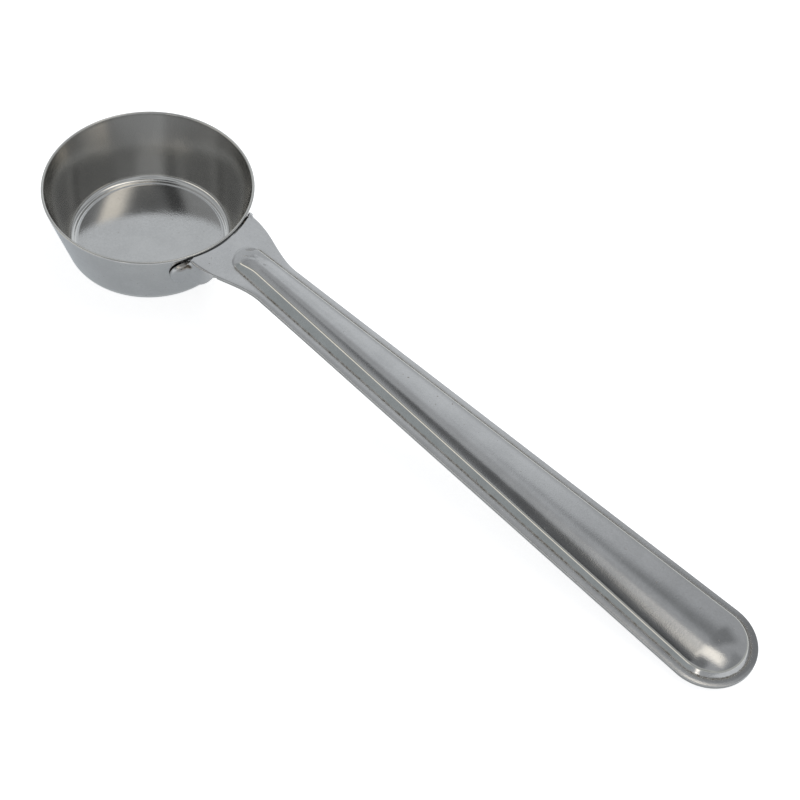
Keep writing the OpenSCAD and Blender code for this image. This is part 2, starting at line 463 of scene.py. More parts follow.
@dataclass(frozen=True)
class CupSteel(SatinSteel):
    """The cup's steel: turned lines, a painted highlight on the rim, a dull inner wall, a painted
    highlight round the bends at the foot, and grime with painted shade.

    Depths are measured down from the rim, and the grime with painted shade lies where the fork
    comes close.
    """

    wall_middle_r: float = field(kw_only=True)
    wall_slope: float = field(kw_only=True)
    top: float = 16 * MM
    inside_r: float = 21.3 * MM
    turned_scale: float = 1600
    turned_depth: float = 0.003 * MM
    turned_twist: float = 0.8 * MM
    # Painted highlight: a warmer, brighter band along the rim, which is also rougher.
    rim: Coat = Coat((0.72, 0.7, 0.65), metal=1.0, rough=0.22, strength=0.8)
    rim_highlight_depths: Band = (0.105 * MM, 0.195 * MM)
    inner_wall: Coat = Coat((0.6, 0.59, 0.57), metal=1.0, rough=0.15)
    inner_heights: Band = (1.2 * MM, 2.2 * MM)
    inner_depths: Band = (0.15 * MM, 0.6 * MM)
    # Painted highlight: a brighter band round the bends at the foot, which is also smoother.
    bend: Coat = Coat((0.78, 0.765, 0.73), metal=1.0, rough=0.09)
    bend_highlight_start: float = 0.4 * MM
    bend_highlight_heights: Band = (1.4 * MM, 2.0 * MM)
    bend_highlight_r: float = 15.6 * MM
    # Grime and painted shade: a dark band on the outer wall under the rim, where the fork comes
    # close.
    grime_and_shade_angles: Band = (math.radians(24.5), math.radians(26.95))
    grime_and_shade_tops: Band = (0.26 * MM, 0.325 * MM)
    grime_and_shade_depths: Band = (1.0 * MM, 1.6 * MM)

    def dress(self, surface: Surface, place: Socket) -> None:
        """Adds the turned lines, the painted highlights on the rim and round the foot's bends, the
        inner wall, and the grime with painted shade.

        Args:
            surface: Surface of the cup.
            place: Place on the cup.
        """
        board = surface.board
        x, y, z = board.parts(place)
        radius = board.vector("LENGTH", board.stretch(place, (1, 1, 0)))
        angle = board.math("ARCTAN2", y, x)
        turned = board.make("ShaderNodeCombineXYZ", {
            "X": radius, "Y": z, "Z": board.product(angle, self.turned_twist)})
        lines = board.noise(turned, self.turned_scale, detail=2)
        surface.height = board.math("ADD", surface.height,
                                    board.product(lines, self.turned_depth))
        depth = board.math("SUBTRACT", self.top, z)
        # Painted highlight along the rim.
        surface.lay(board.spread(depth, *self.rim_highlight_depths, self.rim.strength, 0.0), self.rim)
        straight = board.math("SUBTRACT", radius, board.product(z, self.wall_slope))
        inner = board.product(board.math("LESS_THAN", straight, self.wall_middle_r),
                              board.spread(z, *self.inner_heights, 0.0, 1.0),
                              board.spread(depth, *self.inner_depths, 0.0, 1.0))
        surface.lay(inner, self.inner_wall)
        # Painted highlight round the bends at the foot.
        foot = board.product(board.spread(z, *self.bend_highlight_heights, 1.0, 0.0),
                             board.math("GREATER_THAN", z, self.bend_highlight_start),
                             board.math("GREATER_THAN", radius, self.bend_highlight_r))
        surface.lay(foot, self.bend)
        # Grime and painted shade under the rim by the fork.
        turn = board.math("ABSOLUTE", angle)
        grime_and_shade = board.product(board.spread(turn, *self.grime_and_shade_angles, 1.0, 0.0),
                              board.spread(depth, *self.grime_and_shade_tops, 0.0, 1.0),
                              board.spread(depth, *self.grime_and_shade_depths, 1.0, 0.0),
                              board.math("GREATER_THAN", radius, self.inside_r))
        surface.lay(grime_and_shade, GRIME_AND_SHADE)


@dataclass(frozen=True)
class BurnMark:
    """A burnt spot that the welding left, with a brown halo."""

    name: str
    place: Triple
    radius: float
    halo: float
    strength: float = 1.0


@dataclass(frozen=True)
class HandleSteel(SatinSteel):
    """The handle's steel: painted highlights on the shoulders, painted shade beside the creases,
    brown lines in the creases, sheared edges, grime with painted shade.
    """

    burns: tuple[BurnMark, ...] = ()
    cut: Coat = Coat(tone(176, 174, 170), metal=0.9, rough=0.3)
    stripe_scale: Triple = (150, 150, 6000)
    stripe_band: Band = (0.35, 0.65)
    least_cut: float = 0.5
    # Painted highlight along the rib's shoulders: a brighter, warmer steel.
    shoulder: Coat = Coat((0.76, 0.74, 0.68), metal=1.0, rough=0.1)
    highlight_band: Band = (0.2, 0.5)
    least_highlight: float = 0.7
    # Painted shade on the land beside the crease: a brown-grey darkening.
    crease_shade: Coat = Coat(tone(112, 108, 100), metal=0.6, rough=0.35, strength=0.32)
    crease_shade_w: float = 0.9 * MM
    crease: Coat = Coat(tone(100, 92, 78), metal=0.5, rough=0.45, strength=0.8)
    crease_w: Band = (0.1 * MM, 0.32 * MM)
    patch_scale: float = 420
    patch_band: Band = (0.35, 0.6)
    flaw_scale: float = 1900
    flaw_band: Band = (0.38, 0.6)
    least_line: float = 0.5
    halo: Coat = Coat(tone(128, 108, 80), metal=0.5, rough=0.4, strength=0.6)
    burn: Coat = Coat(tone(34, 26, 20), metal=0.1, rough=0.6)
    burn_edge: Band = (0.8, 1.2)
    ragged_share: float = 1.6

    def dress(self, surface: Surface, place: Socket) -> None:
        """Adds the marks of pressing, shearing, welding and use, the painted highlight on the
        shoulders and the painted shade beside the creases and in the gaps.

        Args:
            surface: Surface of the handle.
            place: Place on the handle.
        """
        board = surface.board
        marks = board.add("ShaderNodeAttribute", attribute_name=WEAR_AND_LIGHT_MAP)
        wear_and_light = (*board.parts(marks.outputs["Color"]), marks.outputs["Alpha"])
        across = board.parts(board.add("ShaderNodeUVMap", uv_map=SECTION_MAP).outputs[0])[0]
        patch = board.noise(place, self.patch_scale, detail=3, roughness=0.6)
        stripes = board.noise(board.stretch(place, self.stripe_scale), 1.0, detail=2)
        cut = board.spread(stripes, *self.stripe_band, self.least_cut, 1.0)
        surface.lay(board.product(wear_and_light[WearAndLight.CUT.value], cut), self.cut)
        # Painted highlight on the shoulders, in patches.
        highlight_patches = board.spread(patch, *self.highlight_band, self.least_highlight, 1.0)
        surface.lay(board.product(wear_and_light[WearAndLight.SHOULDER.value], highlight_patches), self.shoulder)
        pressed = wear_and_light[WearAndLight.PRESSED.value]
        # Painted shade on the land beside the crease, fading outwards.
        outside = board.math("GREATER_THAN", across, 0.0)
        crease_shade = board.spread(across, 0.0, self.crease_shade_w, self.crease_shade.strength, 0.0)
        surface.lay(board.product(crease_shade, outside, pressed), self.crease_shade)
        line = board.spread(board.math("ABSOLUTE", across), *self.crease_w, 1.0, 0.0)
        flaws = board.noise(place, self.flaw_scale, detail=2)
        broken = board.spread(flaws, *self.flaw_band, self.least_line, 1.0)
        worn = board.spread(patch, *self.patch_band, self.least_line, 1.0)
        crease = board.product(line, broken, worn, pressed, self.crease.strength)
        surface.lay(crease, self.crease)
        for burn in self.burns:
            self.scorch(surface, place, burn)
        # Grime, and painted shade in the gap at the fork's front, inside the ears and under the
        # ears' lower edges.
        surface.lay(wear_and_light[WearAndLight.GRIME_AND_SHADE.value], GRIME_AND_SHADE)

    def scorch(self, surface: Surface, place: Socket, burn: BurnMark) -> None:
        """Adds one burnt spot.

        Args:
            surface: Surface of the handle.
            place: Place on the handle.
            burn: The spot.
        """
        board = surface.board
        away = board.vector("DISTANCE", place, burn.place)
        ragged = board.noise(place, self.flaw_scale, detail=3, roughness=0.7)
        ragged = board.product(board.math("SUBTRACT", ragged, NOISE_MIDDLE),
                               self.ragged_share * burn.radius)
        away = board.math("ADD", away, ragged)
        halo = board.spread(away, burn.radius, burn.halo, self.halo.strength * burn.strength, 0.0)
        surface.lay(halo, self.halo)
        start, end = (share * burn.radius for share in self.burn_edge)
        surface.lay(board.spread(away, start, end, burn.strength, 0.0), self.burn)
        log.debug("burn: %s", burn.name)


@dataclass
class Cup:
    """The drawn cup, turned from its section: disc, step, foot, wall, lip and inside."""

    rim_r: float = 22 * MM
    height: float = 16 * MM
    base_r: float = 17.2 * MM
    wall: float = 0.5 * MM
    foot_bend_r: float = 1.3 * MM
    inner_bend_r: float = 1.4 * MM
    foot_ring_w: float = 0.9 * MM
    disc_drop: float = 0.25 * MM
    step_w: float = 0.4 * MM
    lip_w: float = 0.62 * MM
    fill_share: float = 0.5
    segments: int = 256
    bend_steps: int = 10

    @property
    def wall_slope(self) -> float:
        """Growth of the radius for each metre of height."""
        return (self.rim_r - self.base_r) / self.height

    @property
    def wall_angle(self) -> float:
        """Angle of the wall from upright, in degrees."""
        return math.degrees(math.atan(self.wall_slope))

    @property
    def lip_centre(self) -> np.ndarray:
        """Middle of the lip's round, as radius and height."""
        return np.array([self.rim_r - self.lip_w / 2, self.height - self.lip_w / 2])

    def wall_r(self, z: float | np.ndarray) -> float | np.ndarray:
        """Gives the outer radius of the wall.

        Args:
            z: Height over the base.

        Returns:
            The radius.
        """
        angle = math.radians(self.wall_angle)
        foot = (self.lip_centre[0] - self.wall_slope * self.lip_centre[1]
                + self.lip_w / 2 / math.cos(angle))
        return foot + self.wall_slope * z

    def section(self) -> np.ndarray:
        """Gives the section from the disc's edge, round the outside, to the disc's inner face.

        Returns:
            The points, as radius and height.
        """
        turn = self.wall_angle
        lean = math.radians(turn)
        bend_run = math.tan(math.radians((90 - turn) / 2))
        foot_x = self.wall_r(self.disc_drop) - self.foot_bend_r * bend_run
        foot = np.array([foot_x, self.disc_drop + self.foot_bend_r])
        disc_r = foot_x - self.foot_ring_w - self.step_w
        lip_r = self.lip_w / 2
        side = np.array([math.cos(lean), -math.sin(lean)])
        inner_top = (self.lip_centre + (lip_r - self.wall) * side
                     - self.lip_w * np.array([self.wall_slope, 1]))
        ring_z = self.disc_drop + self.wall
        ring_x = (self.wall_r(ring_z) - self.wall / math.cos(lean)
                  - self.inner_bend_r * bend_run)
        inner_foot = np.array([ring_x, ring_z + self.inner_bend_r])
        outside = [[disc_r, SKIN], [disc_r + self.step_w, self.disc_drop]]
        inside = [[disc_r + self.step_w, self.disc_drop + self.wall], [disc_r, self.wall]]
        steps = self.bend_steps
        return np.concatenate([
            outside,
            arc(foot, self.foot_bend_r, -90, -turn, steps),
            arc(self.lip_centre, lip_r, -turn, 180 - turn, 2 * steps),
            [inner_top],
            arc(inner_foot, self.inner_bend_r, -turn, -90, steps),
            inside,
            [[disc_r * self.fill_share, self.wall]]])

    def build(self) -> bpy.types.Object:
        """Turns the cup: a disc is drawn out ring by ring along the section.

        Returns:
            The cup.
        """
        points = self.section()
        deselect_all()
        bpy.ops.mesh.primitive_circle_add(
            vertices=self.segments, radius=points[0][0], fill_type="NGON",
            location=(0, 0, points[0][1]))
        cup = bpy.context.active_object
        cup.name = "cup_body"
        bpy.ops.object.transform_apply(location=True, rotation=True, scale=True)
        bpy.ops.object.mode_set(mode="EDIT")
        bpy.ops.mesh.select_all(action="SELECT")
        for (r0, z0), (r1, z1) in zip(points[:-1], points[1:]):
            bpy.ops.mesh.extrude_region_move(
                TRANSFORM_OT_translate={"value": (0, 0, z1 - z0)})
            bpy.ops.transform.resize(
                value=(r1 / r0, r1 / r0, 1), center_override=(0, 0, z1))
        bpy.ops.object.mode_set(mode="OBJECT")
        finish_normals(cup)
        return cup

    def dress(self, cup: bpy.types.Object, finish: SatinSteel) -> None:
        """Puts the finish on the cup and takes the solid cup's place.

        Args:
            cup: The cup.
            finish: Its steel.
        """
        cup.data.materials.clear()
        cup.data.materials.append(finish.material())
        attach(cup, "root")
        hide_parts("cup")


@dataclass
class Row:
    """One row across the right half of the handle, in its own plane.

    The ear's value is the way along the fold, from 0 at the fork's tip to 1, and it is below zero
    on a row without an ear.
    """

    outline: np.ndarray
    crease: np.ndarray
    spine: np.ndarray
    outward: np.ndarray
    ear: float = -1.0

    @property
    def on_ear(self) -> bool:
        """Whether the row runs down an ear."""
        return self.ear >= 0


@dataclass(frozen=True)
class GridSteps:
    """Steps of the handle's grid: along each part of the outline, and along each column."""

    front: int = 26
    tip: int = 5
    ear: int = 64
    heel: int = 5
    neck: int = 30
    side: int = 90
    end: int = 44
    toe: int = 6
    flank: int = 3
    shoulder: int = 6
    dome: int = 11
    land: int = 4
    bend: int = 6
    face: int = 14
    turn: int = 3

    @property
    def rib_count(self) -> int:
        """Number of points across the rib in a column."""
        return self.toe + self.flank + self.shoulder + self.dome + 1

    @property
    def cut_count(self) -> int:
        """Number of points down the cut edge, or down an ear, round its edge and up inside."""
        return 2 * self.face + self.turn + 1

    @property
    def plain_rows(self) -> int:
        """Number of rows behind the ear, as far as the far end."""
        return self.heel + self.neck + self.side + self.end


@dataclass(frozen=True)
class WearAndLightShares:
    """How far and how strongly the marks and the painted light show on the handle.

    Starts and runs are shares of the fold's length, and the strengths and losses of the grime and
    of the painted shade are shares of the full mark. The marks of pressing end sooner round the
    nose where nose_fade is higher.
    """

    # Points each side of the shoulder that get its painted highlight.
    shoulder_highlight_points: int = 2
    nose_fade: float = 6
    # Painted shade and grime on the fork's front edge and on the ears' inner faces.
    inner_grime_and_shade_start: float = 0.25
    inner_grime_and_shade_run: float = 0.3
    inner_grime_and_shade_loss: float = 0.75
    # Painted contact shade under the ears' lower edges.
    edge_shade_start: float = 0.4
    edge_shade_run: float = 0.2
    edge_shade: float = 0.3
    # Grime along the folds.
    fold_grime: float = 0.45
    fold_grime_loss: float = 0.3


@dataclass
class Handle:
    """The pressed handle: rib, lands, fork and the two ears that are folded down round the cup.

    A distance named u runs along the handle from the cup's axis.
    """

    cup: Cup
    sheet: float = 0.9 * MM
    reach: float = 158.8 * MM
    end_r: float = 9.4 * MM
    land_w: float = 1.55 * MM
    land_roll: float = 0.12 * MM
    rib_start: float = 26 * MM
    nose_r: float = 3.5 * MM
    crown_back: float = 4.0 * MM
    rib_h: float = 2.6 * MM
    swell_len: float = 6.0 * MM
    flank_angle: float = 57
    crease_fillet: float = 0.2 * MM
    nose_fillet: float = 2.5 * MM
    shoulder_reach: float = 0.28 * MM
    nose_reach: float = 1.1 * MM
    inner_shoulder_reach: float = 0.12 * MM
    fork_gap: float = 0.5 * MM
    flare: float = 4.15 * MM
    neck_u: float = 37.4 * MM
    ear_bend_r: float = 0.5 * MM
    ear_edge_r: float = 0.7 * MM
    fold_len: float = 5.4 * MM
    ear_depth: float = 9.2 * MM
    ear_forward: float = 3.9 * MM
    ear_curve_len: float = 3.6 * MM
    weld_t: float = 0.1 * MM
    top_edge_r: float = 0.153 * MM
    steps: GridSteps = GridSteps()
    marks: WearAndLightShares = WearAndLightShares()
    nose_turn_share: float = 0.6
    tip_turn_share: float = 0.06
    nose_height_share: float = 0.6
    swell_lead_share: float = 0.35
    shoulder_nose_share: float = 0.78
    shoulder_end_share: float = 0.46
    front_run_share: float = 0.6
    tip_ease_share: float = 0.6
    heel_share: float = 0.1
    curve_start_share: float = 0.2
    front_pull_share: float = 2.2
    front_depth_share: float = 0.22
    back_pull_share: float = 0.3
    back_depth_share: float = 1.9
    parallel_limit: float = 1e-3
    slope: float = field(init=False)
    taper: float = field(init=False)
    side_angle: float = field(init=False)
    crease_end_r: float = field(init=False)
    nose_u: float = field(init=False)
    crown_u: float = field(init=False)
    end_u: float = field(init=False)
    tip_r: float = field(init=False)
    tip_y: float = field(init=False)
    tip_u: float = field(init=False)
    tip_angle: float = field(init=False)
    fold_end_u: float = field(init=False)
    front_r: float = field(init=False)
    front_angle: float = field(init=False)
    front_run: float = field(init=False)
    front_shoulder: float = field(init=False)
    ear_start: float = field(init=False)

    def __post_init__(self) -> None:
        """Works out the sizes that follow from the driving ones."""
        cup = self.cup
        drop = self.sheet + self.land_roll
        run = self.reach - cup.rim_r
        self.slope = math.asin(cup.height / math.hypot(run, drop)) - math.atan2(drop, run)
        self.crease_end_r = self.end_r - self.land_w
        self.nose_u = self.rib_start + self.nose_r
        self.crown_u = self.nose_u + self.crown_back
        self.end_u = self.reach - self.end_r
        self.taper = math.asin((self.crease_end_r - self.nose_r) / (self.end_u - self.nose_u))
        self.side_angle = math.pi / 2 + self.taper
        self.tip_r = float(self.ear_r(cup.height))
        self.tip_y = ((self.crease_r(cup.rim_r) + self.land_w) / math.cos(self.taper)
                      + self.flare)
        self.tip_u = math.sqrt(self.tip_r ** 2 - self.tip_y ** 2)
        self.fold_end_u = self.tip_u + self.fold_len
        self.tip_angle = math.atan2(self.side_y(self.tip_u), self.tip_u)
        self.front_r = cup.rim_r + self.fork_gap
        self.front_angle = self.tip_angle - 2 * math.atan2(self.fork_gap, cup.rim_r)
        self.front_run = self.nose_r * self.front_run_share
        self.front_shoulder = (2 * self.rib_h * self.front_run
                               / (self.nose_r + self.crown_back + self.front_run))
        self.ear_start = self.sheet + 2 * self.top_edge_r

    def crease_r(self, u: float) -> float:
        """Gives half the rib's width at a distance from the cup's axis."""
        share = (u - self.nose_u) / (self.end_u - self.nose_u)
        return self.nose_r + (self.crease_end_r - self.nose_r) * share

    def side_y(self, u: float) -> float:
        """Gives half the handle's width at a distance from the cup's axis."""
        spread = self.flare * float(smooth((self.neck_u - u) / (self.neck_u - self.tip_u)))
        return (self.crease_r(u) + self.land_w) / math.cos(self.taper) + spread

    def ear_r(self, z: float | np.ndarray) -> float | np.ndarray:
        """Gives the radius of the ear's outer face at a height."""
        lean = math.radians(self.cup.wall_angle)
        return self.cup.wall_r(z) + (self.weld_t + self.sheet) / math.cos(lean)

    def side_out(self, u: float) -> np.ndarray:
        """Gives the outward direction of the side in plan."""
        rise = self.side_y(u + self.sheet) - self.side_y(u - self.sheet)
        return unit(np.array([-rise, 2 * self.sheet]))

    def nose_point(self, angle: float) -> np.ndarray:
        """Gives a point of the crease round the nose."""
        return np.array([self.nose_u + self.nose_r * math.cos(angle),
                         self.nose_r * math.sin(angle)])

    def front_rows(self) -> list[Row]:
        """Gives the rows along the fork's hollow front, which follows the cup's rim.

        Returns:
            The rows, in order.
        """
        turn = (math.pi - self.side_angle) * self.nose_turn_share
        rows = []
        for t in np.linspace(0, 1, self.steps.front + 1):
            angle = self.front_angle * t
            out = np.array([math.cos(angle), math.sin(angle)])
            rows.append(Row(self.front_r * out, self.nose_point(math.pi - turn * t),
                            np.array([self.crown_u, 0]), -out))
        return rows

    def ear_rows(self) -> list[Row]:
        """Gives the rows along the fold of the ear.

        Returns:
            The rows, in order.
        """
        first = math.pi - (math.pi - self.side_angle) * self.nose_turn_share
        rows = []
        for t in np.linspace(0, 1, self.steps.ear + 1):
            u = self.tip_u + self.fold_len * t
            turned = self.tip_turn_share + (1 - self.tip_turn_share) * t
            angle = first - (first - self.side_angle) * turned
            rows.append(Row(np.array([u, self.side_y(u)]), self.nose_point(angle),
                            np.array([self.crown_u, 0]), self.side_out(u), float(t)))
        return rows

    def neck_rows(self) -> list[Row]:
        """Gives the rows from the end of the fold to the neck.

        Returns:
            The rows, in order.
        """
        rows = []
        for t in np.linspace(self.heel_share, 1, self.steps.neck + 1):
            u = self.fold_end_u + (self.neck_u - self.fold_end_u) * t
            v = self.nose_u + (self.neck_u - self.nose_u) * t
            r = self.crease_r(v)
            crease = np.array([v - r * math.sin(self.taper), r * math.cos(self.taper)])
            rows.append(Row(np.array([u, self.side_y(u)]), crease,
                            np.array([max(v, self.crown_u), 0]), self.side_out(u)))
        return rows

    def side_rows(self) -> list[Row]:
        """Gives the rows along the long sides, square to the crease.

        Returns:
            The rows, in order.
        """
        normal = np.array([-math.sin(self.taper), math.cos(self.taper)])
        rows = []
        for t in np.linspace(0, 1, self.steps.side + 1)[1:]:
            v = self.neck_u + (self.end_u - self.neck_u) * t
            r = self.crease_r(v)
            u = v - (r + self.land_w) * math.sin(self.taper) * t
            spine = np.array([v, 0])
            rows.append(Row(np.array([u, self.side_y(u)]), spine + r * normal, spine, normal))
        return rows

    def end_rows(self) -> list[Row]:
        """Gives the rows round the far end.

        Returns:
            The rows, in order.
        """
        spine = np.array([self.end_u, 0])
        rows = []
        for t in np.linspace(0, 1, self.steps.end + 1)[1:]:
            angle = self.side_angle * (1 - t)
            normal = np.array([math.cos(angle), math.sin(angle)])
            rows.append(Row(spine + self.end_r * normal, spine + self.crease_end_r * normal,
                            spine, normal))
        return rows

    def placed(self, u: float, y: float, z: float) -> np.ndarray:
        """Moves a point from the handle's own plane to the scoop's frame.

        Args:
            u: Distance from the cup's axis along the handle.
            y: Distance to the side.
            z: Height over the handle's plane.

        Returns:
            The point.
        """
        rim = self.cup.rim_r
        cos, sin = math.cos(self.slope), math.sin(self.slope)
        return np.array([rim + (u - rim) * cos + z * sin, y,
                         self.cup.height - (u - rim) * sin + z * cos])

    def nose_share(self, row: Row) -> float:
        """Gives how far a row lies round the rib's nose, from 0 at the side to 1 in front."""
        lean = (row.crease[0] - self.nose_u) / self.nose_r
        return float(lean * lean) if row.spine[0] <= self.crown_u and lean < 0 else 0.0

    def fillet_of(self, row: Row) -> float:
        """Gives the radius of the crease's fillet on top at a row."""
        return self.crease_fillet + (self.nose_fillet - self.crease_fillet) * self.nose_share(row)

    def square_of(self, row: Row) -> np.ndarray:
        """Gives the direction in from the crease and square to it.

        Args:
            row: The row.

        Returns:
            The direction in plan.
        """
        start = self.nose_u - self.nose_r * math.sin(self.taper)
        if row.crease[0] < start:
            return unit(np.array([self.nose_u, 0]) - row.crease)
        if row.spine[0] <= self.crown_u:
            return np.array([math.sin(self.taper), -math.cos(self.taper)])
        return unit(row.spine - row.crease)

    def rib_path(self, row: Row, along: float) -> np.ndarray:
        """Gives a point of the rib in plan, from the crease over the shoulder to the spine.

        Args:
            row: The row.
            along: Distance in from the crease.

        Returns:
            The point in plan.
        """
        half, _, run = self.rib_sizes(row)
        square = self.square_of(row)
        share = max(0.0, (along - run) / (half - run))
        return (row.crease + along * square
                + share * share * (row.spine - row.crease - half * square))

    def shoulder_of(self, row: Row) -> float:
        """Gives how far the top shoulder's bend reaches at a row."""
        share = min(1.0, 2 * self.nose_share(row))
        return self.shoulder_reach + (self.nose_reach - self.shoulder_reach) * share

    def rib_sizes(self, row: Row) -> tuple[float, float, float]:
        """Gives the rib's sizes.

        Args:
            row: The row.

        Returns:
            Its half width, the height of its shoulder and the flank's run.
        """
        nose = self.nose_share(row)
        along = (row.spine[0] - self.crown_u) / (self.end_u - self.crown_u)
        side = self.rib_h * (self.shoulder_nose_share
                             + (self.shoulder_end_share - self.shoulder_nose_share) * along)
        rise = (row.crease[0] - self.nose_u) / self.swell_len + self.swell_lead_share
        side *= self.nose_height_share + (1 - self.nose_height_share) * float(smooth(rise))
        height = side * (1 - nose) + self.front_shoulder * nose
        run = side / math.tan(math.radians(self.flank_angle)) * (1 - nose) + self.front_run * nose
        shoulder = row.crease + run * self.square_of(row)
        return run + float(np.linalg.norm(row.spine - shoulder)), height, run

    def toe_reach(self, row: Row) -> float:
        """Gives how far the crease's fillet starts outside the crease."""
        _, height, run = self.rib_sizes(row)
        return self.fillet_of(row) * math.tan(math.atan2(height, run) / 2)

    def rib_section(self, row: Row, depth: float) -> np.ndarray:
        """Gives the rib's section from the land to the spine.

        Args:
            row: The row that the section crosses.
            depth: Distance below the top face, zero on it.

        Returns:
            Points as distance in from the crease and height over the land.
        """
        half, height, run = self.rib_sizes(row)
        angle = math.atan2(height, run)
        flank = np.array([math.cos(angle), math.sin(angle)])
        reach = self.toe_reach(row)
        fillet = self.fillet_of(row) + depth
        toe = [np.array([-reach + fillet * math.sin(a), -depth + fillet * (1 - math.cos(a))])
               for a in np.linspace(0, angle, self.steps.toe + 1)]

        def rise_at(g: float) -> float:
            """Gives the dome's rise at a share of its run."""
            return 2 * (self.rib_h - height) * (1 - g) / (half - run)

        def dome(g: float) -> np.ndarray:
            """Gives a point of the dome, at its depth."""
            point = np.array([run + g * (half - run),
                              height + (self.rib_h - height) * (1 - (1 - g) ** 2)])
            return point + depth * unit(np.array([rise_at(g), -1.0]))

        soft = self.inner_shoulder_reach if depth else self.shoulder_of(row)
        start_share = soft / (half - run)
        end = dome(start_share)
        slope = rise_at(start_share)
        foot = depth * np.array([flank[1], -flank[0]])
        gap = end - foot
        turn = flank[1] - flank[0] * slope
        corner_along = float(gap @ flank) - soft
        if abs(turn) > self.parallel_limit:
            corner_along = (gap[1] - gap[0] * slope) / turn
        corner = foot + flank * corner_along
        start = foot + flank * max(corner_along - soft, (toe[-1] - foot) @ flank + SKIN)
        rise = [toe[-1] + (start - toe[-1]) * t
                for t in np.linspace(0, 1, self.steps.flank + 1)[1:-1]]
        bend = [(1 - t) ** 2 * start + 2 * t * (1 - t) * corner + t * t * end
                for t in np.linspace(0, 1, self.steps.shoulder + 1)]
        crown = [dome(start_share + (1 - start_share) * t)
                 for t in np.linspace(0, 1, self.steps.dome + 1)[1:]]
        crown[-1] = np.array([half, self.rib_h - depth])
        return np.array(toe + rise + bend + crown)

    def bend_of(self, row: Row) -> float:
        """Gives the radius of the top edge, or of the fold's bend.

        Args:
            row: The row.

        Returns:
            The radius on the outer face.
        """
        if not row.on_ear:
            return self.top_edge_r
        swell = (self.ear_bend_r - self.top_edge_r) * (1 - row.ear ** 2)
        return self.top_edge_r + min(swell, self.fold_len * row.ear * self.tip_ease_share)

    def roll_of(self, row: Row) -> float:
        """Gives how far the land's outer edge drops at a row."""
        share = (row.outline[0] - self.fold_end_u) / (self.neck_u - self.fold_end_u)
        return self.land_roll * max(0.0, min(1.0, share))

    def cup_face(self, s: np.ndarray, d: np.ndarray) -> np.ndarray:
        """Gives points of the cone round the cup that the ear lies on.

        Args:
            s: Distance back along the fold from the fork's tip, below zero round the cup.
            d: Depth below the fork.

        Returns:
            Points in the scoop's frame.
        """
        angle = self.tip_angle - s / self.tip_r
        z = self.cup.height - d
        r = self.ear_r(z)
        return np.stack([r * np.cos(angle), r * np.sin(angle), z + 0 * s], axis=-1)

    def side_face(self, s: np.ndarray, d: np.ndarray) -> np.ndarray:
        """Gives points of the sheet below the fold, behind the fork's tip.

        Args:
            s: Distance back along the fold from the fork's tip, below zero round the cup.
            d: Depth below the fork.

        Returns:
            Points in the scoop's frame.
        """
        share = (s / self.fold_len)[..., None]
        fold = np.array([self.placed(self.tip_u + v, self.side_y(self.tip_u + v), 0)
                         for v in np.ravel(s)]).reshape(s.shape + (3,))
        lean = self.cup_face(0 * s, d) - self.cup_face(0 * s, 0 * d)
        drop = np.stack([0 * d, 0 * d, -d], axis=-1)
        return fold + (1 - share) * lean + share * drop

    def ear_face(self, s: np.ndarray, d: np.ndarray) -> np.ndarray:
        """Gives points of the ear's outer face.

        Args:
            s: Distance back along the fold from the fork's tip, below zero round the cup.
            d: Depth below the fork.

        Returns:
            Points in the scoop's frame.
        """
        plain = np.where((s <= 0)[..., None], self.cup_face(s, d), self.side_face(s, d))
        start = -self.ear_curve_len * self.curve_start_share
        end = self.ear_curve_len + start
        t = ((s - start) / self.ear_curve_len)[..., None]
        curved = ((1 - t) ** 2 * self.cup_face(start + 0 * s, d)
                  + 2 * t * (1 - t) * self.cup_face(0 * s, d)
                  + t ** 2 * self.side_face(end + 0 * s, d))
        curved = np.where((t > 0) & (t < 1), curved, plain)
        share = np.clip((d - self.ear_bend_r) / self.ear_bend_r, 0, 1)[..., None]
        return share * curved + (1 - share) * plain

    def ear_out(self, s: np.ndarray, d: np.ndarray) -> np.ndarray:
        """Gives the outward direction of the ear's outer face.

        Args:
            s: Distance back along the fold from the fork's tip, below zero round the cup.
            d: Depth below the fork.

        Returns:
            Directions of length 1.
        """
        step = self.top_edge_r
        back = self.ear_face(s + step, d) - self.ear_face(s - step, d)
        down = self.ear_face(s, d + step) - self.ear_face(s, d - step)
        return unit(np.cross(back, down))

    def ear_end(self, t: float) -> np.ndarray:
        """Gives a point of the ear's outline, a smooth curve round its lower edge.

        Args:
            t: Way along the curve, from 0 at the fork's tip to 1 at the fold's end.

        Returns:
            The distance back along the fold and the depth below the fork.
        """
        points = np.array([
            [0, self.ear_start],
            [-self.ear_forward * self.front_pull_share, self.ear_depth * self.front_depth_share],
            [-self.fold_len * self.back_pull_share, self.ear_depth * self.back_depth_share],
            [self.fold_len, self.ear_start]])
        weights = np.array([(1 - t) ** 3, 3 * (1 - t) ** 2 * t, 3 * (1 - t) * t * t, t ** 3])
        return weights @ points

